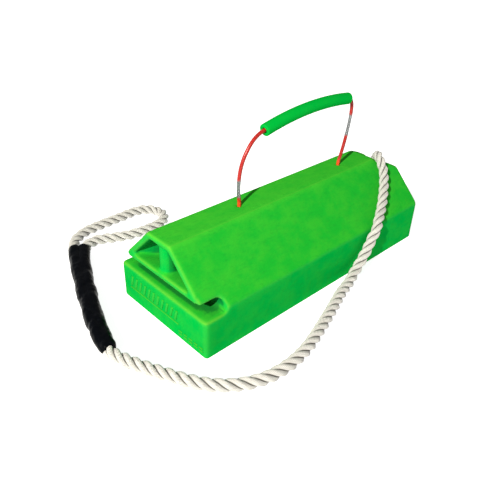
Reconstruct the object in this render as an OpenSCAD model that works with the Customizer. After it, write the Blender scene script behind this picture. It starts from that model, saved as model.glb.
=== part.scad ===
// Moulded wheel chock with a wire bail handle and a three-strand rope lanyard.
// X runs along the block from its marked end to its rope end, Y across it, Z up.
// The origin is on the ground under the middle of the block.

/* [Block] */
// Length of the block
block_l = 400; // [360:1:480]
// Width of the block
block_w = 160; // [140:1:200]
// Height of the upright sides, up to the crease
side_h = 56; // [50:1:70]
// Height of the ridge above the ground
ridge_h = 117; // [105:1:140]
// Width of the flat on top of the ridge
ridge_w = 40; // [32:1:56]
// Radius of the upright corners
corner_r = 5; // [2:0.5:10]

/* [Marked end] */
// Height of the floor of the cross slot
slot_z = 50; // [41:1:52]
// Height of the cross slot
slot_h = 15; // [10:1:18]
// Depth of the cross slot from the end face
slot_d = 32; // [20:1:40]
// Radius of the slot's inner corners
slot_r = 6; // [1:0.5:7]
// Thickness of the web between slot and pocket
web_t = 8; // [5:0.5:12]
// Thickness of the roof over the pocket
roof_t = 8; // [6:0.5:12]
// Diameter of the post in the pocket
post_d = 20; // [14:1:26]
// Distance from the end face to the post's axis
post_in = 14; // [11:0.5:20]
// Width of the way round the post
passage_w = 20; // [16:0.5:24]
// Height of the raised marks
mark_h = 1; // [0.5:0.1:2]

/* [Rope end] */
// Distance from the end face to the end of the ridge
chamfer_l = 40.5; // [30:0.5:50]
// Drop of the chamfer from the ridge to the end face
chamfer_drop = 18; // [10:0.5:24]
// Width of the rope well
well_w = 34; // [28:0.5:40]
// Distance from the end face to the well's axis
well_in = 14.5; // [12:0.5:16]
// Distance from the end face to the knot recess's axis
knot_in = 29; // [27:0.5:32]
// Depth of the knot recess under the block
knot_recess_h = 40; // [36:0.5:44]
// Diameter of the knot recess
knot_recess_d = 44; // [42:0.5:50]

/* [Handle] */
// Distance from the marked end to the first cable hole
hole_1_in = 119; // [90:1:125]
// Distance from the marked end to the second cable hole
hole_2_in = 305; // [300:1:330]
// Diameter of the wire rope core
core_d = 3.4; // [2.5:0.1:4]
// Outer diameter of the plastic jacket
jacket_d = 4.8; // [4.2:0.1:6]
// Outer diameter of the hose grip
grip_d = 15; // [13:0.5:20]
// Bore of the hose grip
grip_bore = 6.4; // [6:0.1:8]
// Diameter of the crimped stop
stop_d = 9; // [7:0.5:12]
// Length of the crimped stop
stop_l = 14; // [10:0.5:18]
// Diameter of the washer
washer_d = 18; // [14:0.5:19]
// Thickness of the washer
washer_t = 2; // [1:0.1:3]
// Depth of the recess for the stop
stop_recess_h = 26; // [22:0.5:32]
// Diameter of the recess for the stop
stop_recess_d = 20; // [19.5:0.5:24]

/* [Rope] */
// Diameter of the rope
rope_d = 15; // [12:0.5:15.5]
// Thickness of the black sleeve over the splice
sleeve_t = 1.6; // [1:0.1:3]
// Diameter of the stopper knot
knot_d = 40; // [32:0.5:41]

/* [Hidden] */

$fn = 48;
eps = 1;                                 // how far a cutter runs past a face
running_gap = 0.4;                       // bore radius over the jacket in the block
tube_gap = 0.05;                         // jacket bore over the core, and stop over the core
pivot_gap = 0.8;                         // bending point of the handle above the ridge

near_x = -block_l / 2 + mark_h / 2;      // face of the marked end
far_x = near_x + block_l;                // face of the rope end
web_z = slot_z + slot_h;                 // underside of the web
floor_z = web_z + web_t;                 // floor of the pocket and of the rope well
post_x = near_x + post_in;
well_x = far_x - well_in;
knot_x = far_x - knot_in;
ridge_end = far_x - chamfer_l;
hole_x = [near_x + hole_1_in, near_x + hole_2_in];
slope = (block_w - ridge_w) / 2 / (ridge_h - side_h);    // run over rise of the roof
roof_shift = roof_t * sqrt(1 + slope * slope);           // roof thickness, measured level
function roof_y(z) = block_w / 2 - (z - side_h) * slope; // half width of the roof at height z

pivot_z = ridge_h + jacket_d / 2 + pivot_gap;
tail_top = pivot_z - jacket_d / 2 - 0.3;
core_tip = pivot_z - core_d / 2 + 0.1;
cable_bore = jacket_d + 2 * running_gap;

// ---- shapes shared by several sub-parts ----

function unit(v) = v / norm(v);
function ahead(p, i) = unit(p[min(i + 1, len(p) - 1)] - p[max(i - 1, 0)]);
function across(p, i, first) = i == 0
    ? unit(cross(ahead(p, 0), first))
    : let (u = across(p, i - 1, first), t = ahead(p, i)) unit(u - (u * t) * t);

// One ring of a tube round point i, a wide and b high
function ring(p, i, a, b, sides, first) =
    let (t = ahead(p, i), u = across(p, i, first), v = cross(t, u))
    [for (k = [0 : sides - 1]) let (w = 360 * (k + 0.5) / sides)
        p[i] + a * cos(w) * u + b * sin(w) * v];

// A closed tube along the points p, with half widths a and half heights b at each point
module tube(p, a, b, sides, first = [0, 0, 1]) {
    n = len(p);
    rings = [for (i = [0 : n - 1]) each ring(p, i, a[i], b[i], sides, first)];
    walls = [for (i = [0 : n - 2], k = [0 : sides - 1])
        let (m = (k + 1) % sides)
        [i * sides + k, i * sides + m, (i + 1) * sides + m, (i + 1) * sides + k]];
    ends = [[for (k = [sides - 1 : -1 : 0]) k], [for (k = [0 : sides - 1]) (n - 1) * sides + k]];
    polyhedron(rings, [for (f = concat(walls, ends)) [for (k = [len(f) - 1 : -1 : 0]) f[k]]]);
}

module round_tube(p, r, sides, first = [0, 0, 1]) {
    tube(p, [for (q = p) r], [for (q = p) r], sides, first);
}

// ---- block ----

module rounded_plan(l, w, r) {
    square([l - 2 * r, w], center = true);
    square([l, w - 2 * r], center = true);
    for (x = [-1, 1], y = [-1, 1]) translate([x * (l / 2 - r), y * (w / 2 - r)]) circle(r);
}

// Cross-section along the whole block: upright sides, two slopes and the flat ridge
module block_section() {
    polygon([[-block_w / 2, 0], [block_w / 2, 0], [block_w / 2, side_h],
             [ridge_w / 2, ridge_h], [-ridge_w / 2, ridge_h], [-block_w / 2, side_h]]);
}

// Cross-section of the pocket under the roof
module pocket_section() {
    top = ridge_h - roof_t;
    low = roof_y(floor_z) - roof_shift;
    high = roof_y(top) - roof_shift;
    polygon([[-low, floor_z], [low, floor_z], [high, top], [-high, top]]);
}

// Extrudes a cross-section from x = a to x = b
module along_x(a, b) {
    translate([a, 0, 0]) rotate([90, 0, 90]) linear_extrude(height = b - a) children();
}

module blank() {
    intersection() {
        along_x(near_x, far_x) block_section();
        translate([(near_x + far_x) / 2, 0, 0])
            linear_extrude(height = ridge_h) rounded_plan(block_l, block_w, corner_r);
    }
}

module cross_slot() {
    translate([near_x, block_w / 2 + eps, slot_z]) rotate([90, 0, 0])
        linear_extrude(height = block_w + 2 * eps) {
            translate([-eps, 0]) square([slot_d - slot_r + eps, slot_h]);
            translate([0, slot_r]) square([slot_d, slot_h - 2 * slot_r]);
            for (z = [slot_r, slot_h - slot_r]) translate([slot_d - slot_r, z]) circle(slot_r);
        }
}

// Plan of the pocket: a round back about the post, flaring at 45 degrees to the end face
module pocket_plan() {
    back_r = post_d / 2 + passage_w;
    side = back_r / sqrt(2);
    mouth = post_in + eps;
    circle(back_r);
    polygon([[side, side], [-mouth, side + side + mouth], [-mouth, -side - side - mouth], [side, -side]]);
}

module pocket() {
    intersection() {
        along_x(near_x - eps, post_x + block_w / 2) pocket_section();
        translate([post_x, 0, floor_z]) linear_extrude(height = ridge_h) pocket_plan();
    }
}

module post() {
    translate([post_x, 0, floor_z - eps])
        cylinder(d = post_d, h = ridge_h - roof_t - floor_z + 2 * eps);
}

module chamfer_cut() {
    past = chamfer_drop / chamfer_l * eps;
    translate([0, block_w / 2, 0]) rotate([90, 0, 0]) linear_extrude(height = block_w)
        polygon([[ridge_end, ridge_h], [far_x + eps, ridge_h - chamfer_drop - past],
                 [far_x + eps, ridge_h + eps], [ridge_end, ridge_h + eps]]);
}

// A bore from one point to another
module bore(from, to, d) {
    run = to - from;
    translate(from) rotate([0, acos(run[2] / norm(run)), atan2(run[1], run[0])])
        cylinder(d = d, h = norm(run));
}

// U-shaped well, sloping bore and knot recess for the end of the rope
module rope_way() {
    translate([well_x, 0, floor_z]) cylinder(d = well_w, h = ridge_h);
    translate([well_x, -well_w / 2, floor_z]) cube([well_in + eps, well_w, ridge_h]);
    lean = unit(rope_route[2] - rope_route[0]) * rope_d / 2;
    bore(rope_route[0] - lean, rope_route[2] + lean, rope_d + 2);
    translate([knot_x, 0, -eps]) cylinder(d = knot_recess_d, h = knot_recess_h + eps);
}

// Groove worn into the shoulder where the rope bends over it
module rope_lead() {
    for (i = [5 : 10]) bore(rope_route[i], rope_route[i + 1], rope_d + 0.8);
}

module cable_hole(x) {
    translate([x, 0, -eps]) cylinder(d = cable_bore, h = ridge_h + 2 * eps);
    translate([x, 0, -eps]) cylinder(d = stop_recess_d, h = stop_recess_h + eps);
}

// Raised marks on the end face: a row of slanted bars, a line under it and a row of dashes
bar_n = 11;
bar_pitch = 8.6;
bar_w = 3.6;
bar_h = 14;
bar_lean = 4;
bars_y = -33;
bars_z = 25;
line_z = 20.5;
line_w = 1.6;
dash_n = 5;
dash_pitch = 9;
dash_l = 6;
dash_z = 12;
module end_marks() {
    translate([near_x + eps, 0, 0]) rotate([90, 0, -90]) linear_extrude(height = mark_h + eps) {
        for (i = [0 : bar_n - 1]) translate([-bars_y - i * bar_pitch, bars_z])
            polygon([[0, 0], [-bar_w, 0], [-bar_w + bar_lean, bar_h], [bar_lean, bar_h]]);
        translate([-bars_y - bar_n * bar_pitch, line_z]) square([bar_n * bar_pitch, line_w]);
        for (i = [0 : dash_n - 1], k = [0, 1])
            translate([-bars_y - 6 + dash_l - i * dash_pitch, dash_z - 4 * k]) square([dash_l, line_w]);
    }
}

module chock_block() {
    color([0.05, 0.76, 0.22]) {
        difference() {
            blank();
            cross_slot();
            pocket();
            chamfer_cut();
            rope_way();
            rope_lead();
            for (x = hole_x) cable_hole(x);
        }
        post();
        end_marks();
    }
}

// ---- handle ----

// Circle that the grip and the cable inside it follow, in the plane of the handle
arc_x = 53;
arc_z = -206;
arc_r = 418.5;
grip_from = -13.4;                       // degrees from upright at the grip's first end
grip_to = 7.8;                           // and at its second end
arc_steps = 6;
function on_arc(w) = [arc_x + arc_r * sin(w), 0, arc_z + arc_r * cos(w)];

// Moves a point of the handle with the block's size
function with_block(p) = p + [near_x + 199.5, 0, ridge_h - 117];

// Route of the cable: up the first leg, along the arc, down the second leg
first_leg = [[-81.5, 0, 130], [-82, 0, 142], [-81.3, 0, 154], [-79, 0, 165], [-75, 0, 175],
             [-70, 0, 183], [-64.5, 0, 190], [-58, 0, 195.5]];
second_leg = [[115.5, 0, 206], [118.5, 0, 201.5], [120, 0, 195.5], [120.2, 0, 187],
              [119.2, 0, 176], [117.5, 0, 165], [115, 0, 153], [112, 0, 141], [108.7, 0, 130]];
arc_part = [for (i = [0 : arc_steps]) on_arc(-14.3 + i * (22.3 / arc_steps))];
cable_bend = [for (p = concat(first_leg, arc_part, second_leg)) with_block(p)];
straight = 4;                            // upright length of the cable above its bending point
cable_route = concat([for (z = [0, straight]) [hole_x[0], 0, pivot_z + z]], cable_bend,
                     [for (z = [straight, 0]) [hole_x[1], 0, pivot_z + z]]);

// The same route with its two ends moved down to height z
function cable_to(z) = concat([[hole_x[0], 0, z]], cable_route, [[hole_x[1], 0, z]]);

module cable_core() {
    color([0.62, 0.64, 0.66]) round_tube(cable_to(core_tip), core_d / 2, 10, [0, 1, 0]);
}

module cable_jacket() {
    color([0.86, 0.2, 0.13]) difference() {
        round_tube(cable_route, jacket_d / 2, 10, [0, 1, 0]);
        round_tube(cable_to(pivot_z - eps), core_d / 2 + tube_gap, 10, [0, 1, 0]);
    }
}

module cable_core_ends() {
    color([0.62, 0.64, 0.66]) for (x = hole_x)
        translate([x, 0, stop_foot()]) cylinder(d = core_d, h = tail_top - stop_foot());
}

module cable_jacket_ends() {
    color([0.86, 0.2, 0.13]) for (x = hole_x) translate([x, 0, stop_recess_h])
        difference() {
            cylinder(d = jacket_d, h = tail_top - stop_recess_h);
            translate([0, 0, -eps])
                cylinder(d = core_d + 2 * tube_gap, h = tail_top - stop_recess_h + 2 * eps);
        }
}

// Ring between two diameters and two heights
module collar(x, outer, inner, z, h) {
    translate([x, 0, z]) difference() {
        cylinder(d = outer, h = h);
        translate([0, 0, -eps]) cylinder(d = inner, h = h + 2 * eps);
    }
}

function stop_foot() = stop_recess_h - washer_t - stop_l;

module crimp_stops() {
    color([0.72, 0.73, 0.74]) for (x = hole_x)
        collar(x, stop_d, core_d + 2 * tube_gap, stop_foot(), stop_l);
}

module stop_washers() {
    color([0.78, 0.79, 0.8]) for (x = hole_x)
        collar(x, washer_d, core_d + 4 * tube_gap, stop_recess_h - washer_t, washer_t);
}

module hose_grip() {
    color([0, 0.72, 0.22]) translate(with_block([arc_x, 0, arc_z]))
        rotate([90, 0, 0]) rotate([0, 0, 90 - grip_to])
            rotate_extrude(angle = grip_to - grip_from, $fn = 360) translate([arc_r, 0])
                difference() {
                    circle(d = grip_d);
                    circle(d = grip_bore);
                }
}

// ---- rope ----

// The rope's route is set out on a block 400 long, 160 wide, with sides 56 and ridge 117 high,
// and follows the block when it changes
ground_z = 20;
function lift(z) = z < ground_z ? z
    : z < 56 ? ground_z + (z - ground_z) * (side_h - ground_z) / (56 - ground_z)
    : side_h + (z - 56) * (ridge_h - side_h) / (117 - 56);
function follow(p) = [p[0] * block_l / 400, p[1] * block_w / 160, lift(p[2])];

// Standing part: up from the knot, over the shoulder, down the slope to the ground,
// and round in front of the marked end to the sleeve
over_shoulder = [
    [189.6, -0.5, 83.5], [189.8, -2.5, 92], [187.5, -5, 100.5], [183.5, -8.5, 107.5],
    [178, -13, 113.5], [172.5, -17.5, 118], [167.5, -22, 120.8], [163.6, -26.5, 120.3],
    [161.2, -31.5, 116.6], [159.2, -38, 109.5]];
down_slope = [
    [154.5, -44.5, 102.8], [148, -50.5, 96.7], [140, -57, 90.1], [132, -62.5, 84.5],
    [124, -68, 78.9], [115.5, -73, 73.8], [106.5, -78, 68.8], [97, -83, 64], [88, -87.8, 58.5],
    [80, -88.5, 49], [71, -90, 38], [61, -91, 27], [50, -92, 17], [39, -94, 10.5], [27, -98, 7.8]];
round_front = [
    [0, -106, 7.8], [-37, -120, 7.8],
    [-73, -133, 7.8], [-104, -143, 7.8], [-129, -148, 7.8], [-152, -149, 7.8], [-174, -146, 7.8],
    [-193, -139, 7.8], [-210, -128, 7.8], [-225, -113, 7.8], [-237, -95, 7.8], [-247, -76, 7.8],
    [-256, -57, 7.8], [-264, -39, 7.8], [-270, -22, 7.8], [-273, -6, 7.8]];
rope_route = concat(
    [[knot_x, 0, knot_recess_h], [(knot_x + well_x) / 2, 0, (knot_recess_h + floor_z) / 2],
     [well_x, 0, floor_z]],
    [for (p = concat(over_shoulder, down_slope, round_front)) follow(p)]);
knot_sink = 3;                           // how far the rope runs into the knot
in_knot = [knot_x, 0, knot_recess_h - knot_sink];

// Route of the eye: out of the sleeve, round the loop and back beside itself
eye_route = [
    [-204, 199.5, 7.8], [-199, 209, 7.8], [-192, 218, 7.8], [-182, 226, 7.8], [-169, 232, 7.8],
    [-153, 235, 7.8], [-131, 236.5, 7.8], [-105, 237, 7.8], [-80, 238, 7.8], [-64, 234, 7.8],
    [-54, 224, 7.8], [-50, 210, 7.8], [-54, 196, 7.8], [-64, 186, 7.8], [-78, 182, 7.8],
    [-94, 181.5, 7.8], [-113, 182.5, 7.8], [-131, 187, 7.8], [-147, 194, 7.8], [-160, 200, 7.8],
    [-170, 202, 7.8], [-178.5, 200.5, 7.8], [-185, 197, 7.8], [-190, 192, 7.8]];

// Route of the sleeve's axis, with its half width at each point
sleeve_z = rope_d / 2 + sleeve_t + 0.3;
sleeve_route = [
    [-273, -6, sleeve_z], [-270.5, 8, sleeve_z], [-266.5, 23, sleeve_z], [-261, 42, sleeve_z],
    [-254, 63, sleeve_z], [-246, 84, sleeve_z], [-236.5, 109, sleeve_z], [-224, 139, sleeve_z],
    [-212, 167, sleeve_z], [-197, 196, sleeve_z]];
rope_end_shift = follow([-273, -6, 0]) - [-273, -6, 0];
sleeve_spread = [0.6, 2, 1.6, 1.2, 1.4, 2, 3.4, 5, 6, 7];

module lanyard_rope() {
    color([0.93, 0.91, 0.87]) round_tube(concat([in_knot], rope_route), rope_d / 2, 12, [0, 1, 0]);
}

module lanyard_eye() {
    color([0.93, 0.91, 0.87]) translate(rope_end_shift) round_tube(eye_route, rope_d / 2, 12);
}

module splice_sleeve() {
    half = rope_d / 2 + sleeve_t;
    color([0.04, 0.05, 0.06]) translate(rope_end_shift)
        tube(sleeve_route, [for (s = sleeve_spread) half + s - sleeve_t / 2],
             [for (s = sleeve_spread) half], 12);
}

module stopper_knot() {
    knot_h = 32;
    round_r = 10;
    color([0.93, 0.91, 0.87]) translate([knot_x, 0, knot_recess_h - knot_h])
        rotate_extrude() {
            square([knot_d / 2 - round_r, knot_h]);
            translate([0, round_r]) square([knot_d / 2, knot_h - 2 * round_r]);
            for (z = [round_r, knot_h - round_r]) intersection() {
                translate([knot_d / 2 - round_r, z]) circle(round_r);
                square([knot_d / 2, knot_h]);
            }
        }
}

chock_block();
cable_core();
cable_jacket();
cable_core_ends();
cable_jacket_ends();
hose_grip();
crimp_stops();
stop_washers();
lanyard_rope();
lanyard_eye();
splice_sleeve();
stopper_knot();
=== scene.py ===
"""Wheel chock with a wire handle and a rope lanyard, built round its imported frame."""

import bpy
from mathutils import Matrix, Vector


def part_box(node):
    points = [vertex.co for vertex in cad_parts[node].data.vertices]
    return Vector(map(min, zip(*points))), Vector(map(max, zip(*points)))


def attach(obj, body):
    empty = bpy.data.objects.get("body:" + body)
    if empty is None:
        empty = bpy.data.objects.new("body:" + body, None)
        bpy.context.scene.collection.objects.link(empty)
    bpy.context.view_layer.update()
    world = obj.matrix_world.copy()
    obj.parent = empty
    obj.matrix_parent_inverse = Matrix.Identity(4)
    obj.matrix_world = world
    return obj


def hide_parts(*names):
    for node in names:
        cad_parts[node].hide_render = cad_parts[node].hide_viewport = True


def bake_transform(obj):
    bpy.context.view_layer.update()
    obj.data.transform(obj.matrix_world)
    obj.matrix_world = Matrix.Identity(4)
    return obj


bl_info = {
    "name": "Wheel Chock",
    "version": (1, 0, 0),
    "blender": (4, 5, 0),
    "location": "View3D > Sidebar > Chock",
    "description": "Builds a cast wheel chock, its wire handle and its laid rope lanyard",
    "category": "Object",
}

import math

import bmesh
import bpy
from mathutils import Matrix, Vector, noise
from mathutils.bvhtree import BVHTree

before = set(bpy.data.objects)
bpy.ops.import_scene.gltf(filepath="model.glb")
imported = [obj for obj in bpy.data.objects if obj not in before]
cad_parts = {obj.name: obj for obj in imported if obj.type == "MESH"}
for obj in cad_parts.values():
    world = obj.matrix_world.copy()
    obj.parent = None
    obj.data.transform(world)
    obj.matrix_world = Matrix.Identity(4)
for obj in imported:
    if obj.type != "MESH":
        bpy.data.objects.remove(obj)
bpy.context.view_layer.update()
block_low, block_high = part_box("chock_block")
grip_low, grip_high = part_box("hose_grip")

CAMERA_AT = (-0.47956, -0.42263, 0.42831)
CAMERA_RIGHT = (0.7314, -0.6814, 0.0255)
CAMERA_UP = (0.3456, 0.4026, 0.8476)
CAMERA_LENS = 41.155

# Green of upward faces: painted light, lighter and yellower than the sides
LIT_TOP_GREEN = (0.0098, 0.322, 0.0195, 1.0)
STREAK_GREEN = (0.035, 0.365, 0.021, 1.0)
RIDGE_GREEN = (0.036, 0.372, 0.022, 1.0)
SCUFF_GREEN = (0.010, 0.200, 0.020, 1.0)
# Painted highlight on the casting's rounded edges
EDGE_HIGHLIGHT_GREEN = (0.095, 0.335, 0.030, 1.0)
# Painted shade for the pocket, the slot and the well
RECESS_SHADE_GREEN = (0.0, 0.045, 0.018, 1.0)
HOSE_STREAK = (0.010, 0.34, 0.03, 1.0)
FOOT_RED = (0.78, 0.075, 0.012, 1.0)
# Bare wire, with painted shade for the grooves between its strands
BARE_WIRE, WIRE_GROOVE_SHADE = (0.24, 0.25, 0.26, 1.0), (0.025, 0.028, 0.03, 1.0)
# Rope: painted shade between the yarns and in the grooves, real soil, and darker fuzz
YARN_SHADE, ROPE_SOIL = (0.44, 0.41, 0.36, 1.0), (0.50, 0.47, 0.40, 1.0)
ROPE_GROOVE_SHADE, FUZZ_SHADE = (0.05, 0.042, 0.034, 1.0), (0.30, 0.27, 0.23, 1.0)
SLEEVE_DUST = (0.012, 0.015, 0.02, 1.0)
FLOOR_GLOW = 0.88

KEY_AT = (-2.1, -0.78, 1.65)
KEY_SIZE = 0.07
KEY_COLOUR = (1.0, 0.965, 0.86)

MARK_H = 0.001
NEAR_X = block_low[0] + MARK_H
MARK_ROW_Y, MARK_PITCH = -0.033, 0.0086
DASH_ROW_Y, DASH_PITCH, DASH_LEVELS = -0.036, 0.009, (0.0128, 0.0088)

# Recesses are shaded only near the two ends and above the foot
SHADE_X = (-0.11, 0.150)
SHADE_Z = 0.030
SLOT_TOP = 0.066
RAY_HEIGHTS = (0.95, 0.85, 0.75, 0.66, 0.57, 0.48, 0.40, 0.33, 0.27, 0.22, 0.17, 0.13)
RAY_REACH = 0.060

HOLE_X = (-0.0805, 0.1055)
CABLE_STEP, CABLE_PITCH, CORE_LAY, CORE_STRANDS = 0.0015, 0.014, 0.022, 6
ARC_CENTRE = Vector((0.053, 0.0, -0.206))
ARC_R = 0.4185
GRIP_FROM, GRIP_TO = -13.4, 7.8
STOP_FOOT, STOP_TOP, RECESS_TOP = 0.010, 0.024, 0.026
KNOT_X, KNOT_TOP, KNOT_H = 0.1715, 0.040, 0.032
KNOT_R, KNOT_RINGS, KNOT_LAY = 0.0195, 60, 0.075
RIDGE_Z = round(block_high[2], 4)
GRIP_D = round(grip_high[1] - grip_low[1], 4)

# The rope's route: up from the knot, over the shoulder, down the slope and round the marked
# end to the sleeve; IN_SLEEVE goes on through it, and EYE_ROUTE round the eye and back into it
ROPE_STEP = 0.0016
ROPE_ROUTE = [
    (0.1715, 0, 0.037), (0.1715, 0, 0.040), (0.17875, 0, 0.0565), (0.186, 0, 0.073),
    (0.1896, -0.0005, 0.0835), (0.1898, -0.0025, 0.092), (0.1875, -0.005, 0.1005),
    (0.1835, -0.0085, 0.1075), (0.178, -0.013, 0.1135), (0.1725, -0.0175, 0.118),
    (0.1675, -0.022, 0.1208), (0.1636, -0.0265, 0.1203), (0.1612, -0.0315, 0.1166),
    (0.1592, -0.038, 0.1095), (0.1545, -0.0445, 0.1028), (0.148, -0.0505, 0.0967),
    (0.140, -0.057, 0.0901), (0.132, -0.0625, 0.0845), (0.124, -0.068, 0.0789),
    (0.1155, -0.073, 0.0738), (0.1065, -0.078, 0.0688), (0.097, -0.083, 0.064),
    (0.088, -0.0878, 0.0585), (0.080, -0.0885, 0.049), (0.071, -0.090, 0.038),
    (0.061, -0.091, 0.027), (0.050, -0.092, 0.017), (0.039, -0.094, 0.0105),
    (0.027, -0.098, 0.0078), (0, -0.106, 0.0078), (-0.037, -0.120, 0.0078),
    (-0.073, -0.133, 0.0078), (-0.104, -0.143, 0.0078), (-0.129, -0.148, 0.0078),
    (-0.152, -0.149, 0.0078), (-0.174, -0.146, 0.0078), (-0.193, -0.139, 0.0078),
    (-0.210, -0.128, 0.0078), (-0.225, -0.113, 0.0078), (-0.237, -0.095, 0.0078),
    (-0.247, -0.076, 0.0078), (-0.256, -0.057, 0.0078), (-0.264, -0.039, 0.0078),
    (-0.270, -0.022, 0.0078), (-0.273, -0.006, 0.0080),
]
SLEEVE_WALL = 0.0016
SLEEVE_ROUTE = [
    (-0.273, -0.006, 0.0094), (-0.2705, 0.008, 0.0094), (-0.2665, 0.023, 0.0094),
    (-0.261, 0.042, 0.0094), (-0.254, 0.063, 0.0094), (-0.246, 0.084, 0.0094),
    (-0.2365, 0.109, 0.0094), (-0.224, 0.139, 0.0094), (-0.212, 0.167, 0.0094),
    (-0.197, 0.196, 0.0094),
]

# How far the sleeve's section is spread each way from its middle, in millimetres, from its
# first end to the eye. It is wider than in the solid, so that the drawn rope stays inside
SLEEVE_SPREAD = (2.6, 3.4, 4.2, 4.6, 5.0, 5.2, 5.4, 6.0, 6.8, 7.4)
IN_SLEEVE = [(-0.2665, 0.023, 0.0090), (-0.254, 0.063, 0.0092), (-0.2395, 0.104, 0.0092),
             (-0.2275, 0.134, 0.0092), (-0.2175, 0.161, 0.0090), (-0.2095, 0.183, 0.0084)]
EYE_ROUTE = [
    (-0.204, 0.1995, 0.0078), (-0.199, 0.209, 0.0078), (-0.192, 0.218, 0.0078),
    (-0.182, 0.226, 0.0078), (-0.169, 0.232, 0.0078), (-0.153, 0.235, 0.0078),
    (-0.131, 0.2365, 0.0078), (-0.105, 0.237, 0.0078), (-0.080, 0.238, 0.0078),
    (-0.064, 0.234, 0.0078), (-0.054, 0.224, 0.0078), (-0.050, 0.210, 0.0078),
    (-0.054, 0.196, 0.0078), (-0.064, 0.186, 0.0078), (-0.078, 0.182, 0.0078),
    (-0.094, 0.1815, 0.0078), (-0.113, 0.1825, 0.0078), (-0.131, 0.187, 0.0078),
    (-0.147, 0.194, 0.0078), (-0.160, 0.200, 0.0078), (-0.170, 0.202, 0.0078),
    (-0.1785, 0.2005, 0.0078), (-0.185, 0.197, 0.0078), (-0.190, 0.192, 0.0078),
    (-0.1965, 0.183, 0.0086),
]
FIRST_LEG = [
    (-0.0805, 0, 0.0262), (-0.0805, 0, 0.060), (-0.0805, 0, 0.100), (-0.0805, 0, 0.1202),
    (-0.0815, 0, 0.130), (-0.082, 0, 0.142), (-0.0813, 0, 0.154), (-0.079, 0, 0.165),
    (-0.075, 0, 0.175), (-0.070, 0, 0.183), (-0.0645, 0, 0.190), (-0.058, 0, 0.1955),
]
SECOND_LEG = [
    (0.1155, 0, 0.206), (0.1185, 0, 0.2015), (0.120, 0, 0.1955), (0.1202, 0, 0.187),
    (0.1192, 0, 0.176), (0.1175, 0, 0.165), (0.115, 0, 0.153), (0.112, 0, 0.141),
    (0.1087, 0, 0.130), (0.1055, 0, 0.1202), (0.1055, 0, 0.100), (0.1055, 0, 0.060),
    (0.1055, 0, 0.0262),
]


# ---------------------------------------------------------------- settings

class ChockBlockSettings(bpy.types.PropertyGroup):
    grain: bpy.props.FloatProperty(
        name="Grain", description="Size of the cells the cast surface is rounded in",
        default=0.0018, min=0.001, unit="LENGTH")
    rounding: bpy.props.IntProperty(
        name="Rounding", description="How often the casting's edges are eased",
        default=9, min=1, max=30)
    green: bpy.props.FloatVectorProperty(
        name="Green", description="Colour of the cast block", subtype="COLOR", size=3,
        default=(0.0004, 0.292, 0.037))
    bars: bpy.props.IntProperty(
        name="Bars", description="Number of slanted bars in the raised row", default=11, min=1)


class ChockHandleSettings(bpy.types.PropertyGroup):
    jacket_d: bpy.props.FloatProperty(
        name="Cable", description="Diameter of the coated cable", default=0.0048, unit="LENGTH")
    core_d: bpy.props.FloatProperty(
        name="Wire", description="Diameter of the wire rope in it", default=0.0034, unit="LENGTH")
    grip_d: bpy.props.FloatProperty(
        name="Grip", description="Outer diameter of the hose", default=GRIP_D, unit="LENGTH")
    grip_bore: bpy.props.FloatProperty(
        name="Bore", description="Bore of the hose", default=0.0064, unit="LENGTH")
    red: bpy.props.FloatVectorProperty(
        name="Red", description="Colour of the cable's coat", subtype="COLOR", size=3,
        default=(0.40, 0.017, 0.012))
    green: bpy.props.FloatVectorProperty(
        name="Green", description="Colour of the hose grip", subtype="COLOR", size=3,
        default=(0.0004, 0.295, 0.030))


class ChockRopeSettings(bpy.types.PropertyGroup):
    rope_d: bpy.props.FloatProperty(
        name="Rope", description="Diameter of the rope", default=0.015, unit="LENGTH")
    lay: bpy.props.FloatProperty(
        name="Lay", description="Length in which a strand goes once round", default=0.040,
        unit="LENGTH")
    white: bpy.props.FloatVectorProperty(
        name="White", description="Colour of the rope", subtype="COLOR", size=3,
        default=(0.82, 0.81, 0.78))
    black: bpy.props.FloatVectorProperty(
        name="Black", description="Colour of the sleeve", subtype="COLOR", size=3,
        default=(0.0012, 0.0016, 0.0026))


class ChockStageSettings(bpy.types.PropertyGroup):
    floor: bpy.props.FloatVectorProperty(
        name="Floor", description="Colour of the floor", subtype="COLOR", size=3,
        default=(0.55, 0.55, 0.55))
    key: bpy.props.FloatProperty(
        name="Key", description="Power of the main light", default=136.0, unit="POWER")
    fill: bpy.props.FloatProperty(
        name="Fill", description="Strength of the light from all round", default=0.32)


def share(x):
    """The number, kept between 0 and 1."""
    return max(0.0, min(1.0, x))


# ---------------------------------------------------------------- shader helpers

def put(tree, kind, sockets=(), **settings):
    """Adds a node, with its settings, and its sockets given as values or as links."""
    n = tree.nodes.new(kind)
    for k, v in settings.items():
        setattr(n, k, v)
    for k, v in dict(sockets).items():
        if isinstance(v, bpy.types.NodeSocket):
            tree.links.new(v, n.inputs[k])
        else:
            n.inputs[k].default_value = v
    return n


def maths(tree, operation, a, b=0.0):
    return put(tree, "ShaderNodeMath", {0: a, 1: b}, operation=operation).outputs[0]


def between(tree, value, low, high, to_low=0.0, to_high=1.0):
    return put(tree, "ShaderNodeMapRange",
               {"Value": value, "From Min": low, "From Max": high,
                "To Min": to_low, "To Max": to_high},
               interpolation_type="SMOOTHSTEP").outputs["Result"]


def blend_colour(tree, factor, a, b, mode="MIX"):
    n = put(tree, "ShaderNodeMix", {0: factor, 6: a, 7: b}, data_type="RGBA", blend_type=mode)
    return n.outputs[2]


def cloud(tree, vector, scale, detail=3.0, roughness=0.55):
    return put(tree, "ShaderNodeTexNoise",
               {"Vector": vector, "Scale": scale, "Detail": detail,
                "Roughness": roughness}).outputs["Fac"]


def stretched(tree, vector, scale, turn=(0.0, 0.0, 0.0)):
    return put(tree, "ShaderNodeMapping",
               {"Vector": vector, "Scale": scale, "Rotation": turn}).outputs[0]


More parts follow.
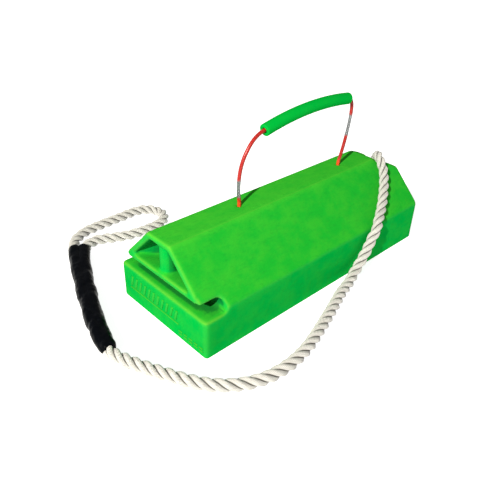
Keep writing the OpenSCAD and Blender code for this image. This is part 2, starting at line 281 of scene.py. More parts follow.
def group(name, ins, outs, body):
    """A node group with named inputs and outputs, built once."""
    g = bpy.data.node_groups.get(name)
    if g:
        return g
    g = bpy.data.node_groups.new(name, "ShaderNodeTree")
    for label, kind, value in ins:
        s = g.interface.new_socket(label, in_out="INPUT", socket_type="NodeSocket" + kind)
        if value is not None:
            s.default_value = value
    for label, kind in outs:
        g.interface.new_socket(label, in_out="OUTPUT", socket_type="NodeSocket" + kind)
    start = g.nodes.new("NodeGroupInput")
    end = g.nodes.new("NodeGroupOutput")
    for label, socket in body(g, start.outputs).items():
        g.links.new(socket, end.inputs[label])
    return g


def use(tree, g, sockets):
    return put(tree, "ShaderNodeGroup", sockets, node_tree=g).outputs


def cast_mottle():
    """Flow marks and cloudy patches of a poured elastomer."""
    def body(g, i):
        flow = stretched(g, i["Vector"], (14.0, 34.0, 34.0), (0.0, 0.35, 0.2))
        patches = cloud(g, i["Vector"], i["Size"], 4.0, 0.62)
        marks = cloud(g, flow, 1.6, 5.0, 0.6)
        fine = cloud(g, i["Vector"], 900.0, 2.0, 0.5)
        both = maths(g, "ADD", maths(g, "MULTIPLY", patches, 0.6),
                     maths(g, "MULTIPLY", marks, 0.4))
        mask = between(g, both, 0.38, 0.62)
        height = maths(g, "ADD", both, maths(g, "MULTIPLY", fine, 0.10))
        return {"Mask": mask, "Height": height}
    return group("cast_mottle", [("Vector", "Vector", None), ("Size", "Float", 22.0)],
                 [("Mask", "Float"), ("Height", "Float")], body)


def laid_yarns():
    """Grooves between strands, and the yarns in each, from a map whose first axis counts
    turns of the lay and whose second goes once round."""
    def body(g, i):
        axes = put(g, "ShaderNodeSeparateXYZ", {0: i["Map"]}).outputs
        in_strand = maths(g, "FRACT", maths(g, "MULTIPLY", axes[1], i["Strands"]))
        off = maths(g, "ABSOLUTE", maths(g, "SUBTRACT", in_strand, 0.5))
        groove = between(g, off, 0.37, 0.47)
        wander = maths(g, "MULTIPLY", cloud(g, stretched(g, i["Map"], (9.0, 30.0, 1.0)), 1.0),
                       1.1)
        along = maths(g, "ADD", axes[1], maths(g, "MULTIPLY", axes[0], i["Slant"]))
        turns = maths(g, "MULTIPLY", i["Yarns"], 6.2832)
        phase = maths(g, "ADD", maths(g, "MULTIPLY", along, turns),
                      maths(g, "MULTIPLY", wander, 2.4))
        yarn = maths(g, "MULTIPLY_ADD", maths(g, "SINE", phase), 0.5)
        yarn.node.inputs[2].default_value = 0.5
        return {"Groove": groove, "Yarn": yarn}
    return group("laid_yarns",
                 [("Map", "Vector", None), ("Strands", "Float", 3.0), ("Yarns", "Float", 27.0),
                  ("Slant", "Float", 1.2)],
                 [("Groove", "Float"), ("Yarn", "Float")], body)


def metal_wear():
    """Fine scratches and dull patches on bare metal."""
    def body(g, i):
        lines = cloud(g, stretched(g, i["Vector"], (1.0, 1.0, 0.12)), 1400.0, 3.0, 0.7)
        dull = cloud(g, i["Vector"], i["Size"], 4.0, 0.6)
        rough = maths(g, "ADD", maths(g, "MULTIPLY", lines, 0.18),
                      maths(g, "MULTIPLY", dull, 0.3))
        return {"Roughness": maths(g, "ADD", rough, 0.08), "Height": lines}
    return group("metal_wear", [("Vector", "Vector", None), ("Size", "Float", 120.0)],
                 [("Roughness", "Float"), ("Height", "Float")], body)


def material(name, **shader):
    """A new material with its Principled BSDF, whose plain sockets are set here."""
    m = bpy.data.materials.new(name)
    m.use_nodes = True
    tree = m.node_tree
    bsdf = tree.nodes["Principled BSDF"]
    for k, v in shader.items():
        bsdf.inputs[k.replace("_", " ")].default_value = v
    return m, tree, bsdf


def feed(tree, bsdf, **links):
    for k, v in links.items():
        tree.links.new(v, bsdf.inputs[k.replace("_", " ")])


def bumped(tree, height, distance, strength=1.0):
    return put(tree, "ShaderNodeBump", {"Height": height, "Distance": distance,
                                        "Strength": strength}).outputs[0]


def place(tree, what="Object"):
    return tree.nodes.new("ShaderNodeTexCoord").outputs[what]


def rgba(c, k=1.0):
    return (min(c[0] * k, 1), min(c[1] * k, 1), min(c[2] * k, 1), 1.0)


def cast_green(green):
    """Mottled casting: painted light makes it yellower on top and on its rounded edges, and
    painted shade makes its recesses dull and bluish.
    """
    m, t, b = material("cast_green", Specular_IOR_Level=0.0)
    at = place(t)
    out = use(t, cast_mottle(), {"Vector": at, "Size": 55.0})
    edge = put(t, "ShaderNodeAttribute", (), attribute_name="edge").outputs["Fac"]
    recess_shade = put(t, "ShaderNodeAttribute", (), attribute_name="recess_shade").outputs["Fac"]
    up = put(t, "ShaderNodeSeparateXYZ",
             {0: t.nodes.new("ShaderNodeNewGeometry").outputs["Normal"]}).outputs[2]
    lit = between(t, up, 0.2, 0.8)
    high = between(t, put(t, "ShaderNodeSeparateXYZ", {0: at}).outputs[2], 0.111, 0.1165)
    # Painted light: faces turned up get the lighter, yellower green, and the casting's real flow
    # streaks are painted stronger on them
    base = blend_colour(t, lit, rgba(green), LIT_TOP_GREEN)
    lit_streak = maths(t, "MULTIPLY", out["Mask"], between(t, lit, 0.0, 1.0, 0.20, 0.55))
    base = blend_colour(t, lit_streak, base, STREAK_GREEN)
    ridge = maths(t, "MULTIPLY", high, maths(t, "MULTIPLY_ADD", out["Mask"], 0.35))
    base = blend_colour(t, ridge, base, RIDGE_GREEN)
    scratched = stretched(t, at, (110.0, 420.0, 420.0), (0.0, 0.4, 0.9))
    scuff = between(t, cloud(t, scratched, 1.0, 4.0, 0.7), 0.50, 0.70)
    base = blend_colour(t, maths(t, "MULTIPLY", scuff, 0.28), base, SCUFF_GREEN)
    # Painted highlight: rounded convex edges turn lighter and yellower, more so where they face
    # up
    wear_and_highlight = maths(t, "MULTIPLY", edge, between(t, lit, 0.0, 1.0, 0.42, 0.80))
    base = blend_colour(t, wear_and_highlight, base, EDGE_HIGHLIGHT_GREEN)
    # Painted shade: the pocket, the slot and the well turn dull and bluish by how closed in they
    # are
    base = blend_colour(t, maths(t, "MULTIPLY", recess_shade, 0.62), base, RECESS_SHADE_GREEN)
    feed(t, b, Base_Color=base,
         Roughness=between(t, out["Mask"], 0.0, 1.0, 0.34, 0.50),
         Normal=bumped(t, out["Height"], 0.0011, 0.8))
    return m


def hose_green(green):
    m, t, b = material("hose_green", Specular_IOR_Level=0.0)
    out = use(t, cast_mottle(), {"Vector": place(t), "Size": 60.0})
    base = blend_colour(t, maths(t, "MULTIPLY", out["Mask"], 0.22), rgba(green), HOSE_STREAK)
    feed(t, b, Base_Color=base, Roughness=between(t, out["Mask"], 0.0, 1.0, 0.30, 0.42),
         Normal=bumped(t, out["Height"], 0.0004, 0.6))
    return m


def coated_cable(red, bare):
    """Red coat over wire rope, worn to the wire in the given lengths along the cable."""
    m, t, b = material("coated_cable", Specular_IOR_Level=0.3)
    uv = place(t, "UV")
    along = put(t, "ShaderNodeSeparateXYZ", {0: uv}).outputs[0]
    yarns = use(t, laid_yarns(), {"Map": uv, "Strands": 7.0, "Yarns": 21.0, "Slant": 0.6})
    wear_and_highlight = None
    ragged = maths(t, "MULTIPLY", maths(t, "SUBTRACT", cloud(t, place(t), 260.0), 0.5), 0.5)
    at = maths(t, "ADD", along, ragged)
    for low, high in bare:
        one = maths(t, "MULTIPLY", between(t, at, low - 0.12, low + 0.12),
                    between(t, at, high - 0.12, high + 0.12, 1.0, 0.0))
        wear_and_highlight = one if wear_and_highlight is None else maths(t, "MAXIMUM", wear_and_highlight, one)
    wear = use(t, metal_wear(), {"Vector": place(t), "Size": 200.0})
    coat = blend_colour(t, cloud(t, place(t), 90.0), rgba(red), rgba(red, 0.62))
    low = put(t, "ShaderNodeSeparateXYZ", {0: place(t)}).outputs[2]
    coat = blend_colour(t, between(t, low, 0.118, 0.129, 0.85, 0.0), coat,
                        FOOT_RED)
    # Painted shade in the grooves between the bare wire's strands
    wire = blend_colour(t, yarns["Groove"], BARE_WIRE, WIRE_GROOVE_SHADE)
    rough = put(t, "ShaderNodeMix", {0: wear_and_highlight, 2: 0.30, 3: wear["Roughness"]}).outputs[0]
    height = maths(t, "MULTIPLY", yarns["Groove"], maths(t, "MULTIPLY_ADD", wear_and_highlight, -0.8))
    feed(t, b, Base_Color=blend_colour(t, wear_and_highlight, coat, wire), Roughness=rough,
         Metallic=maths(t, "MULTIPLY", wear_and_highlight, 0.85), Normal=bumped(t, height, 0.0004, 0.9))
    return m


def wire_steel():
    m, t, b = material("wire_steel", Metallic=1.0)
    wear = use(t, metal_wear(), {"Vector": place(t), "Size": 160.0})
    base = blend_colour(t, wear["Height"], (0.50, 0.51, 0.53, 1.0), (0.68, 0.69, 0.70, 1.0))
    feed(t, b, Base_Color=base, Roughness=wear["Roughness"],
         Normal=bumped(t, wear["Height"], 0.00008))
    return m


def soft_metal(name, dark, light, size):
    m, t, b = material(name, Metallic=1.0)
    wear = use(t, metal_wear(), {"Vector": place(t), "Size": size})
    base = blend_colour(t, cloud(t, place(t), size), dark, light)
    feed(t, b, Base_Color=base, Roughness=wear["Roughness"],
         Normal=bumped(t, wear["Height"], 0.0001))
    return m


def rope_white(white):
    m, t, b = material("rope_white", Specular_IOR_Level=0.35, Sheen_Weight=0.25,
                       Sheen_Roughness=0.5)
    uv = place(t, "UV")
    laid = use(t, laid_yarns(), {"Map": uv, "Strands": 3.0, "Yarns": 27.0, "Slant": 1.25})
    soil = between(t, cloud(t, place(t), 70.0, 5.0, 0.65), 0.42, 0.72)
    fibre = cloud(t, stretched(t, uv, (3.0, 120.0, 1.0)), 1.6, 3.0, 0.7)
    base = blend_colour(t, maths(t, "MULTIPLY", fibre, 0.35), rgba(white), rgba(white, 0.78))
    # Painted shade between the yarns, where the surface sinks
    base = blend_colour(t, maths(t, "MULTIPLY", maths(t, "SUBTRACT", 1.0, laid["Yarn"]), 0.46),
                        base, YARN_SHADE)
    base = blend_colour(t, maths(t, "MULTIPLY", soil, 0.22), base, ROPE_SOIL)
    # Painted shade in the grooves between the strands
    base = blend_colour(t, laid["Groove"], base, ROPE_GROOVE_SHADE)
    fuzz = cloud(t, place(t), 1100.0, 3.0, 0.7)
    base = blend_colour(t, between(t, fuzz, 0.50, 0.72, 0.0, 0.42), base, FUZZ_SHADE)
    loose = maths(t, "ADD", maths(t, "MULTIPLY", fibre, 0.6), maths(t, "MULTIPLY", fuzz, 0.8))
    height = maths(t, "ADD", laid["Yarn"], loose)
    feed(t, b, Base_Color=base, Roughness=between(t, fibre, 0.2, 0.8, 0.55, 0.8),
         Normal=bumped(t, height, 0.0010, 1.0))
    return m


def shrunk_black(black):
    m, t, b = material("shrunk_black", Specular_IOR_Level=0.035)
    at = place(t)
    creases = cloud(t, stretched(t, place(t, "UV"), (3.0, 2.0, 1.0)), 3.0, 4.0, 0.6)
    dust = between(t, cloud(t, at, 130.0, 5.0, 0.7), 0.50, 0.78)
    base = blend_colour(t, maths(t, "MULTIPLY", dust, 0.35), rgba(black), SLEEVE_DUST)
    feed(t, b, Base_Color=base, Roughness=between(t, dust, 0.0, 1.0, 0.30, 0.52),
         Normal=bumped(t, creases, 0.0012, 0.7))
    return m


def pale_floor(colour):
    m, t, b = material("pale_floor", Specular_IOR_Level=0.2)
    shade = cloud(t, place(t), 0.6, 2.0)
    feed(t, b, Base_Color=blend_colour(t, shade, rgba(colour), rgba(colour, 0.99)),
         Roughness=between(t, shade, 0.0, 1.0, 0.85, 0.9))
    b.inputs["Emission Color"].default_value = (1.0, 1.0, 1.0, 1.0)
    b.inputs["Emission Strength"].default_value = FLOOR_GLOW
    return m


# ---------------------------------------------------------------- mesh helpers

def smooth_route(points, step):
    """Points a step apart on a smooth curve through the given ones."""
    p = [Vector(q) for q in points]
    p = [p[0] * 2 - p[1]] + p + [p[-1] * 2 - p[-2]]
    fine = []
    for a, b, c, d in zip(p, p[1:], p[2:], p[3:]):
        ta = (b - a).length ** 0.5
        tb = ta + (c - b).length ** 0.5
        tc = tb + (d - c).length ** 0.5
        for k in range(24):
            t = ta + (tb - ta) * k / 24
            ab = a.lerp(b, t / ta)
            bc = b.lerp(c, (t - ta) / (tb - ta))
            cd = c.lerp(d, (t - tb) / (tc - tb))
            abc = ab.lerp(bc, t / tb)
            bcd = bc.lerp(cd, (t - ta) / (tc - ta))
            fine.append(abc.lerp(bcd, (t - ta) / (tb - ta)))
    fine.append(p[-2])
    total = route_length(fine)
    n = max(2, round(total / step))
    out, i, done = [fine[0]], 0, 0.0
    for k in range(1, n):
        want = total * k / n
        while done + (fine[i + 1] - fine[i]).length < want:
            done += (fine[i + 1] - fine[i]).length
            i += 1
        out.append(fine[i].lerp(fine[i + 1], (want - done) / (fine[i + 1] - fine[i]).length))
    return out + [fine[-1]]


def route_length(points):
    return sum((b - a).length for a, b in zip(points, points[1:]))


def frames_along(points, first):
    """A pair of cross axes at each point, carried along without twist."""
    u = Vector(first)
    out = []
    for i in range(len(points)):
        t = (points[min(i + 1, len(points) - 1)] - points[max(i - 1, 0)]).normalized()
        u = (u - t * u.dot(t)).normalized()
        out.append((u.copy(), t.cross(u)))
    return out


def finish_mesh(bm, name, mat, body, crease=None):
    """Turns a bmesh into a piece, which rides on a body where one is given. Edges turned by
    more than the crease angle stay sharp."""
    bmesh.ops.remove_doubles(bm, verts=bm.verts, dist=1e-6)
    bmesh.ops.recalc_face_normals(bm, faces=bm.faces)
    for f in bm.faces:
        f.smooth = True
    if crease is not None:
        for e in bm.edges:
            if len(e.link_faces) == 2 and e.calc_face_angle(0) > crease:
                e.smooth = False
    mesh = bpy.data.meshes.new(name)
    bm.to_mesh(mesh)
    bm.free()
    mesh.materials.append(mat)
    obj = bpy.data.objects.new(name, mesh)
    bpy.context.scene.collection.objects.link(obj)
    if body:
        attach(obj, body)
    return obj


def swept(points, around, first, shape, turns=None):
    """A closed tube along points. shape(i, w, s) gives the half width and half height where
    w is the share of a turn round and s the length so far; turns(s) twists it."""
    axes = frames_along(points, first)
    lengths = [0.0]
    for a, b in zip(points, points[1:]):
        lengths.append(lengths[-1] + (b - a).length)
    bm = bmesh.new()
    bmesh.ops.create_grid(bm, x_segments=len(points) - 1, y_segments=around, size=0.5)
    uv = bm.loops.layers.uv.new("UVMap")
    n = len(points) - 1
    for f in bm.faces:
        for loop in f.loops:
            i = round((loop.vert.co.x + 0.5) * n)
            s = lengths[i]
            loop[uv].uv = (turns(s) if turns else s, loop.vert.co.y + 0.5)
    for v in bm.verts:
        i = round((v.co.x + 0.5) * n)
        w = v.co.y + 0.5
        s = lengths[i]
        angle = math.tau * (w + (turns(s) if turns else 0.0))
        half_w, half_h = shape(i, w, s)
        side, up = axes[i]
        v.co = points[i] + side * (half_w * math.cos(angle)) + up * (half_h * math.sin(angle))
    bmesh.ops.remove_doubles(bm, verts=bm.verts, dist=1e-6)
    rim = [e for e in bm.edges if e.is_boundary]
    bmesh.ops.edgeloop_fill(bm, edges=rim)
    return bm


def lobes(strands, w, radius, press=0.92):
    """Distance from the middle of a rope of round strands to its outside."""
    part = abs((w * strands) % 1.0 - 0.5) * math.tau / strands
    strand = radius * math.sin(math.pi / strands) / (1 + math.sin(math.pi / strands))
    strand *= 1.0 + (1.0 - press) * 1.6
    out = radius - strand
    return out * math.cos(part) + math.sqrt(max(strand ** 2 - (out * math.sin(part)) ** 2, 0.0))


def ring(bm, x, inner, outer, low, high, ease, dents=0.0):
    """A round ring on an upright axis at x, with eased edges, pinched from two sides by the
    given share."""
    made = bmesh.new()
    middle = (low + high) / 2
    corners = [made.verts.new((x + r, 0, z)) for r, z in
               ((inner, low), (outer, low), (outer, middle), (outer, high), (inner, high))]
    edges = [made.edges.new((a, b)) for a, b in zip(corners, corners[1:] + corners[:1])]
    bmesh.ops.spin(made, geom=corners + edges, cent=(x, 0, 0), axis=(0, 0, 1),
                   angle=math.tau, steps=48, use_merge=True)
    bmesh.ops.remove_doubles(made, verts=made.verts, dist=1e-7)
    sharp = [e for e in made.edges if len(e.link_faces) == 2 and e.calc_face_angle(0) > 1.0]
    bmesh.ops.bevel(made, geom=sharp, offset=ease, segments=3, profile=0.5, affect="EDGES",
                    material=-1)
    if dents:
        for v in made.verts:
            off = Vector((v.co.x - x, v.co.y))
            if off.length > (inner + outer) / 2:
                turn = math.pi * (v.co.z - low) / (high - low) - math.pi / 2
                v.co.y *= 1.0 - dents * max(0.0, math.cos(turn))
    bmesh.ops.recalc_face_normals(made, faces=made.faces)
    mesh = bpy.data.meshes.new("ring")
    made.to_mesh(mesh)
    made.free()
    bm.from_mesh(mesh)
    bpy.data.meshes.remove(mesh)


# ---------------------------------------------------------------- pieces

class CHOCK_OT_camera(bpy.types.Operator):
    """Place the camera at the block's marked end, above its rope side"""
    bl_idname = "chock.camera"
    bl_label = "Camera"

    def execute(self, context):
        data = bpy.data.cameras.new("camera")
        data.sensor_width = 36.0
        data.lens = CAMERA_LENS
        data.clip_start = 0.01
        cam = bpy.data.objects.new("camera", data)
        right, up = Vector(CAMERA_RIGHT), Vector(CAMERA_UP)
        back = right.cross(up).normalized()
        up = back.cross(right.normalized())
        turn = Matrix((right.normalized(), up, back)).transposed().to_4x4()
        cam.matrix_world = Matrix.Translation(CAMERA_AT) @ turn
        context.scene.collection.objects.link(cam)
        context.scene.camera = cam
        return {"FINISHED"}


class CHOCK_OT_rope(bpy.types.Operator):
    """Lay the three-strand rope from its knot to its spliced eye"""
    bl_idname = "chock.rope"
    bl_label = "Rope"

    def execute(self, context):
        s = context.scene.chock_rope
        path = smooth_route(ROPE_ROUTE + IN_SLEEVE + EYE_ROUTE, ROPE_STEP)
        r, lay = s.rope_d / 2, s.lay

        # The rope goes under the sleeve between these lengths, and again from the tail on
        under = [route_length(smooth_route(ROPE_ROUTE + IN_SLEEVE[:k], ROPE_STEP))
                 for k in (1, len(IN_SLEEVE))]
        tail = route_length(path) - 0.012

        def shape(i, w, at):
            k = lobes(3, w, r) * (1.0 + 0.018 * noise.noise((at * 60.0, w * 9.0, 3.1)))
            hidden = max(min(at - under[0] + 0.015, under[1] - at, 0.01) * 100, (at - tail) * 100)
            k *= 1.0 - 0.30 * share(hidden)
            pulled = 0.86 + 0.04 * share((at - 0.11) / 0.05)
            pulled += 0.10 * share((at - 0.20) / 0.16)
            return (k * pulled,) * 2

        bm = swept(path, 36, (0, 1, 0), shape, lambda at: at / lay)
        obj = finish_mesh(bm, "laid_rope", rope_white(s.white), "chock")
        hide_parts("lanyard_rope", "lanyard_eye")
        self.report({"INFO"}, "rope %.3f m" % route_length(path))
        return {"FINISHED"}


class CHOCK_OT_sleeve(bpy.types.Operator):
    """Shrink the black sleeve over the splice"""
    bl_idname = "chock.sleeve"
    bl_label = "Sleeve"

    def execute(self, context):
        s = context.scene.chock_rope
        path = smooth_route(SLEEVE_ROUTE, 0.0015)
        n = len(path) - 1
        half = s.rope_d / 2 + SLEEVE_WALL

        def shape(i, w, at):
            done = i / n * (len(SLEEVE_SPREAD) - 1)
            k = min(int(done), len(SLEEVE_SPREAD) - 2)
            t = done - k
            spread = (SLEEVE_SPREAD[k] * (1 - t) + SLEEVE_SPREAD[k + 1] * t) * 0.001
            c = max(spread - SLEEVE_WALL, 0.0)
            around = math.tau * w
            cos, sin = math.cos(around), math.sin(around)
            out = c * abs(sin) + math.sqrt(max(half ** 2 - (c * cos) ** 2, 0.0))
            # The film sinks between the strands and is lumpy, less so near the eye
            turn = 2 * around - math.tau * at / 0.044 + 2.6 * noise.noise((at * 16.0, 0.4, 5.0))
            dip = 0.0009 * (0.5 - 0.5 * math.cos(turn)) ** 2
            dip += 0.0016 * max(0.0, noise.noise((at * 58.0, cos * 1.1, sin * 1.1)))
            dip += 0.0005 * noise.noise((at * 170.0, cos * 2.6, sin * 2.6))
            dip *= 1.0 - 0.75 * max(0.0, (i / n - 0.72) / 0.28)
            ease = 0.0020 * (1.0 - min(min(i, n - i) / 3.0, 1.0)) ** 2
            return (out - dip - ease,) * 2

        bm = swept(path, 48, (0, 0, 1), shape)
        obj = finish_mesh(bm, "shrunk_sleeve", shrunk_black(s.black), "chock",
                          crease=1.0)
        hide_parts("splice_sleeve")
        return {"FINISHED"}


class CHOCK_OT_knot(bpy.types.Operator):
    """Tie the stopper knot under the block"""
    bl_idname = "chock.knot"
    bl_label = "Knot"

    def execute(self, context):
        foot, high = KNOT_TOP - KNOT_H + 0.0005, KNOT_H - 0.001
        levels = [Vector((KNOT_X, 0, foot + high * k / KNOT_RINGS))
                  for k in range(KNOT_RINGS + 1)]

        def shape(i, w, at):
            t = i / KNOT_RINGS
            barrel = KNOT_R * (max(1.0 - abs(2 * t - 1.0) ** 3.2, 0.0) ** 0.42)
            lobe = 0.86 + 0.14 * abs(math.sin(math.pi * 3 * w))
            waist = 1.0 - 0.10 * math.exp(-((t - 0.5) / 0.06) ** 2)
            return (max(barrel * lobe * waist, 0.0012),) * 2

        bm = swept(levels, 72, (1, 0, 0), shape, lambda at: at / KNOT_LAY)
        obj = finish_mesh(bm, "tied_knot", bpy.data.materials["rope_white"], "chock")
        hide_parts("stopper_knot")
        path = smooth_route(ROPE_ROUTE + IN_SLEEVE + EYE_ROUTE, 0.005)
        return {"FINISHED"}


class CHOCK_OT_block(bpy.types.Operator):
    """Cast the block with its slot, pocket and post, and ease its edges"""
    bl_idname = "chock.block"
    bl_label = "Block"

    def execute(self, context):
        s = context.scene.chock_block
        bm = bmesh.new()
        bm.from_mesh(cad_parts["chock_block"].data)
        bmesh.ops.remove_doubles(bm, verts=bm.verts, dist=1e-6)
        for v in bm.verts:
            v.co.x = max(v.co.x, NEAR_X)
        rough = bpy.data.meshes.new("rough_cast")
        bm.to_mesh(rough)
        bm.free()
        blank = bpy.data.objects.new("rough_cast", rough)
        context.scene.collection.objects.link(blank)
        cells = blank.modifiers.new("cells", "REMESH")
        cells.mode = "VOXEL"
        cells.voxel_size = s.grain
        cells.use_smooth_shade = True
        context.view_layer.update()
        coarse = bpy.data.meshes.new_from_object(
            blank.evaluated_get(context.evaluated_depsgraph_get()))
        bpy.data.objects.remove(blank)
        bm = bmesh.new()
        bm.from_mesh(coarse)
        bpy.data.meshes.remove(coarse)
        before = {v.index: v.co.copy() for v in bm.verts}
        for _ in range(s.rounding):
            bmesh.ops.smooth_vert(bm, verts=bm.verts, factor=0.5, use_axis_x=True,
                                  use_axis_y=True, use_axis_z=True)
        # The two tips of the roof beside the slot are rounder than the other edges
        tips = [v for v in bm.verts if abs(v.co.y) > 0.062 and 0.064 < v.co.z < 0.076
                and v.co.x < NEAR_X + 0.030]
        for _ in range(12):
            bmesh.ops.smooth_vert(bm, verts=tips, factor=0.5, use_axis_x=True,
                                  use_axis_y=True, use_axis_z=True)
        for v in bm.verts:
            kept = 1.0 - share((v.co.z - 0.001) / 0.008)
            v.co = v.co.lerp(before[v.index], 0.7 * kept)
        # How far the smoothing rounded each point off; this sets where the painted edge highlight
        # goes
        layer = bm.verts.layers.float.new("edge")
        for v in bm.verts:
            out = (before[v.index] - v.co).dot(v.normal)
            v[layer] = share((out - 0.0002) / 0.0011)
        self.shade_recesses(bm)
        obj = finish_mesh(bm, "cast_block", cast_green(s.green), "chock")
        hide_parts("chock_block")

        marks = bmesh.new()
        sheet = NEAR_X + 0.0006
        row = s.bars * MARK_PITCH
        for k in range(s.bars):
            y = MARK_ROW_Y + (k + 0.5) * MARK_PITCH
            self.bar(marks, sheet, y, 0.0318, 0.0034, 0.0136, 0.29)
        self.bar(marks, sheet, MARK_ROW_Y + row / 2, 0.0213, row, 0.0014, 0.0)
        for k in range(5):
            for z in DASH_LEVELS:
                self.bar(marks, sheet, DASH_ROW_Y - k * DASH_PITCH, z, 0.006, 0.0014, 0.0)
        bmesh.ops.bevel(marks, geom=marks.edges[:], offset=0.0004, segments=2, profile=0.5,
                        affect="EDGES", material=-1)
        # The bars' front faces get part of the painted edge highlight
        wear_and_highlight = marks.verts.layers.float.new("edge")
        for v in marks.verts:
            v[wear_and_highlight] = 0.4 if v.co.x < NEAR_X - 0.0004 else 0.0
        finish_mesh(marks, "end_marks", bpy.data.materials["cast_green"], "chock")
        return {"FINISHED"}

    @staticmethod
    def shade_recesses(bm):
        """Marks how closed in each point of the pocket, the slot and the well is: the share
        of rays that hit the casting, raised in the slot and lowered on level floors."""
        tree = BVHTree.FromBMesh(bm)
        # How closed in each point is, kept as painted shade for the casting's colour
        layer = bm.verts.layers.float.new("recess_shade")
        rays = [Vector((math.cos(2.4 * k) * math.sqrt(1 - h * h),
                        math.sin(2.4 * k) * math.sqrt(1 - h * h), h))
                for k, h in enumerate(RAY_HEIGHTS)]
        for v in bm.verts:
            if (v.co.x < NEAR_X + 0.004 or SHADE_X[0] < v.co.x < SHADE_X[1]
                    or v.co.z < SHADE_Z):
                continue
            turn = Vector((0, 0, 1)).rotation_difference(v.normal)
            start = v.co + v.normal * 0.0012
            shut = sum(tree.ray_cast(start, turn @ r, RAY_REACH)[0] is not None for r in rays)
            dark = share((shut / len(rays) - 0.36) * 1.9)
            if v.co.z < SLOT_TOP and v.co.x < 0:
                dark = share(3 * dark) * share((v.co.x - NEAR_X - 0.0075) / 0.002)
            elif v.normal.z > 0.7:
                dark *= 0.35
            v[layer] = dark

    @staticmethod
    def bar(bm, x, y, z, wide, high, lean):
        """One raised bar on the end face, leaning by the given share of its height."""
        made = bmesh.ops.create_cube(bm, size=1.0)["verts"]
        bmesh.ops.scale(bm, verts=made, vec=(MARK_H * 1.9, wide, high))
        for v in made:
            v.co.y -= v.co.z * lean
        bmesh.ops.translate(bm, verts=made, vec=(x - MARK_H * 0.65, y, z))


class CHOCK_OT_cable(bpy.types.Operator):
    """Thread the coated cable through the block and bend it into a bail"""
    bl_idname = "chock.cable"
    bl_label = "Cable"

    def execute(self, context):
        s = context.scene.chock_handle
        arc = [ARC_CENTRE + Vector((ARC_R * math.sin(math.radians(a)), 0,
                                    ARC_R * math.cos(math.radians(a))))
               for a in (-14.3, -11.0, -7.5, -4.0, -0.5, 3.0, 6.0, 8.0)]
        path = smooth_route(FIRST_LEG + [tuple(p) for p in arc] + SECOND_LEG, CABLE_STEP)
        r, pitch = s.jacket_d / 2, CABLE_PITCH

        def turns_to(test):
            """Turns of the lay up to the first point that passes the test."""
            run = 0.0
            for a, b in zip(path, path[1:]):
                if test(a):
                    return run / pitch
                run += (b - a).length
            return run / pitch

        # The coat is worn low on the near leg and high on the far one
        bare = [(turns_to(lambda p: p.z > 0.1275), turns_to(lambda p: p.z > 0.149)),
                (turns_to(lambda p: p.x > 0.1 and p.z < 0.186),
                 turns_to(lambda p: p.x > 0.1 and p.z < 0.158))]

        def shape(i, w, at):
            thin = 0.0
            for low, high in bare:
                inside = min(at / pitch - low, high - at / pitch)
                thin = max(thin, min(max(inside * 3, 0.0), 1.0))
            k = r * (1.0 - 0.10 * thin) * (1 + 0.01 * noise.noise((at * 90, w * 5, 1.3)))
            return k, k

        bm = swept(path, 24, (0, 1, 0), shape, lambda at: at / pitch)
        obj = finish_mesh(bm, "coated_cable", coated_cable(s.red, bare), None,
                          crease=1.0)
        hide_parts("cable_jacket", "cable_jacket_ends")
        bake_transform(obj)
        steel = wire_steel()

        def core_shape(i, w, at):
            return (lobes(CORE_STRANDS, w, s.core_d / 2, 1.0),) * 2

        def core_turns(at):
            return at / CORE_LAY

        bm = swept(path, 24, (0, 1, 0), core_shape, core_turns)
        core = finish_mesh(bm, "wire_core", steel, None, crease=1.0)
        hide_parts("cable_core")
        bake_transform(core)
        tails = bmesh.new()
        for x in HOLE_X:
            up = smooth_route([(x, 0, STOP_FOOT), (x, 0, 0.06), (x, 0, RIDGE_Z)], 0.001)
            one = swept(up, 36, (1, 0, 0), core_shape, core_turns)
            mesh = bpy.data.meshes.new("tail")
            one.to_mesh(mesh)
            one.free()
            tails.from_mesh(mesh)
            bpy.data.meshes.remove(mesh)
        obj = finish_mesh(tails, "wire_tails", steel, "chock", crease=1.0)
        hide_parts("cable_core_ends")
        return {"FINISHED"}


class CHOCK_OT_grip(bpy.types.Operator):
    """Spin the hose grip along the cable's arc"""
    bl_idname = "chock.grip"
    bl_label = "Grip"

    def execute(self, context):
        s = context.scene.chock_handle
        bm = bmesh.new()
        for r in (s.grip_d / 2, s.grip_bore / 2):
            bmesh.ops.create_circle(bm, segments=48, radius=r)
        bmesh.ops.bridge_loops(bm, edges=bm.edges[:])
        start = (Matrix.Translation(ARC_CENTRE)
                 @ Matrix.Rotation(math.radians(GRIP_FROM), 4, "Y")
                 @ Matrix.Translation((0, 0, ARC_R)) @ Matrix.Rotation(math.pi / 2, 4, "Y"))
        bmesh.ops.transform(bm, matrix=start, verts=bm.verts)
        bmesh.ops.spin(bm, geom=bm.verts[:] + bm.edges[:] + bm.faces[:], cent=ARC_CENTRE,
                       axis=(0, 1, 0), angle=math.radians(GRIP_TO - GRIP_FROM), steps=64)
        bmesh.ops.recalc_face_normals(bm, faces=bm.faces)
        rims = [e for e in bm.edges if len(e.link_faces) == 2 and e.calc_face_angle(0) > 1.0]
        bmesh.ops.bevel(bm, geom=rims, offset=0.0011, segments=4, profile=0.5, affect="EDGES",
                        material=-1)
        obj = finish_mesh(bm, "grip_hose", hose_green(s.green), "grip")
        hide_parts("hose_grip")
        return {"FINISHED"}


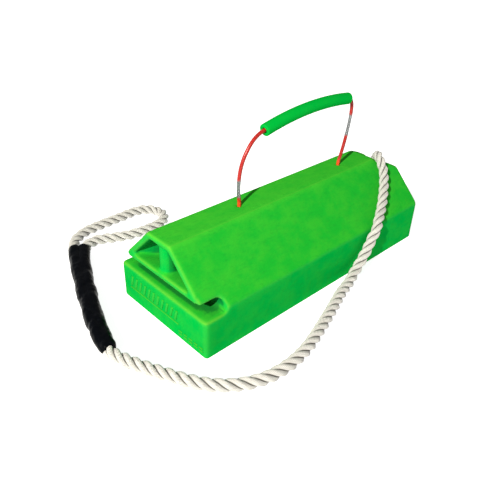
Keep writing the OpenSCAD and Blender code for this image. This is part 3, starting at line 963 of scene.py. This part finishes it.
class CHOCK_OT_stops(bpy.types.Operator):
    """Crimp the stops under their washers"""
    bl_idname = "chock.stops"
    bl_label = "Stops"

    def execute(self, context):
        crimps, washers = bmesh.new(), bmesh.new()
        for x in HOLE_X:
            ring(crimps, x, 0.00178, 0.0045, STOP_FOOT, STOP_TOP, 0.0005, dents=0.22)
            ring(washers, x, 0.0019, 0.009, STOP_TOP, RECESS_TOP, 0.0003)
        alloy = soft_metal("crimp_alloy", (0.52, 0.53, 0.54, 1), (0.72, 0.73, 0.74, 1), 90.0)
        obj = finish_mesh(crimps, "crimped_stops", alloy, "chock", crease=0.9)
        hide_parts("crimp_stops")
        zinc = soft_metal("zinc_plate", (0.46, 0.47, 0.50, 1), (0.64, 0.66, 0.68, 1), 140.0)
        obj = finish_mesh(washers, "round_washers", zinc, "chock", crease=0.9)
        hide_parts("stop_washers")
        return {"FINISHED"}


class CHOCK_OT_stage(bpy.types.Operator):
    """Lay the floor and set the lights"""
    bl_idname = "chock.stage"
    bl_label = "Stage"

    def execute(self, context):
        s = context.scene.chock_stage
        bm = bmesh.new()
        bmesh.ops.create_grid(bm, x_segments=1, y_segments=1, size=12.0)
        floor = finish_mesh(bm, "floor", pale_floor(s.floor), None)
        world = bpy.data.worlds.new("surround")
        world.use_nodes = True
        back = world.node_tree.nodes["Background"]
        back.inputs["Color"].default_value = (1.0, 1.0, 1.0, 1.0)
        seen = put(world.node_tree, "ShaderNodeLightPath").outputs["Is Camera Ray"]
        strength = between(world.node_tree, seen, 0.0, 1.0, s.fill, 1.0)
        world.node_tree.links.new(strength, back.inputs["Strength"])
        context.scene.world = world
        context.scene.view_settings.view_transform = "Standard"
        data = bpy.data.lights.new("key", "AREA")
        data.energy = s.key
        data.size = KEY_SIZE
        data.color = KEY_COLOUR
        lamp = bpy.data.objects.new("key", data)
        lamp.location = KEY_AT
        lamp.rotation_euler = (-Vector(KEY_AT)).to_track_quat("-Z", "Y").to_euler()
        context.scene.collection.objects.link(lamp)
        return {"FINISHED"}


class CHOCK_PT_panel(bpy.types.Panel):
    bl_label = "Wheel Chock"
    bl_idname = "CHOCK_PT_panel"
    bl_space_type = "VIEW_3D"
    bl_region_type = "UI"
    bl_category = "Chock"

    def draw(self, context):
        for title, key, steps in PARTS:
            box = self.layout.box()
            box.label(text=title)
            if key:
                group_of = getattr(context.scene, key)
                for name in group_of.__annotations__:
                    box.prop(group_of, name)
            for step in steps:
                box.operator(step)


PARTS = (
    ("Camera", None, ("chock.camera",)),
    ("Rope", "chock_rope", ("chock.rope", "chock.sleeve", "chock.knot")),
    ("Block", "chock_block", ("chock.block",)),
    ("Handle", "chock_handle", ("chock.cable", "chock.grip", "chock.stops")),
    ("Stage", "chock_stage", ("chock.stage",)),
)
SETTINGS = {"chock_block": ChockBlockSettings, "chock_handle": ChockHandleSettings,
            "chock_rope": ChockRopeSettings, "chock_stage": ChockStageSettings}
CLASSES = tuple(SETTINGS.values()) + (
    CHOCK_OT_camera, CHOCK_OT_rope, CHOCK_OT_sleeve, CHOCK_OT_knot, CHOCK_OT_block,
    CHOCK_OT_cable, CHOCK_OT_grip, CHOCK_OT_stops, CHOCK_OT_stage, CHOCK_PT_panel)


def register():
    for c in CLASSES:
        bpy.utils.register_class(c)
    for name, kind in SETTINGS.items():
        setattr(bpy.types.Scene, name, bpy.props.PointerProperty(type=kind))


def unregister():
    for name in SETTINGS:
        delattr(bpy.types.Scene, name)
    for c in reversed(CLASSES):
        bpy.utils.unregister_class(c)


def main():
    register()
    for _title, _key, steps in PARTS:
        for step in steps:
            family, verb = step.split(".")
            getattr(getattr(bpy.ops, family), verb)()


if __name__ == "__main__":
    main()
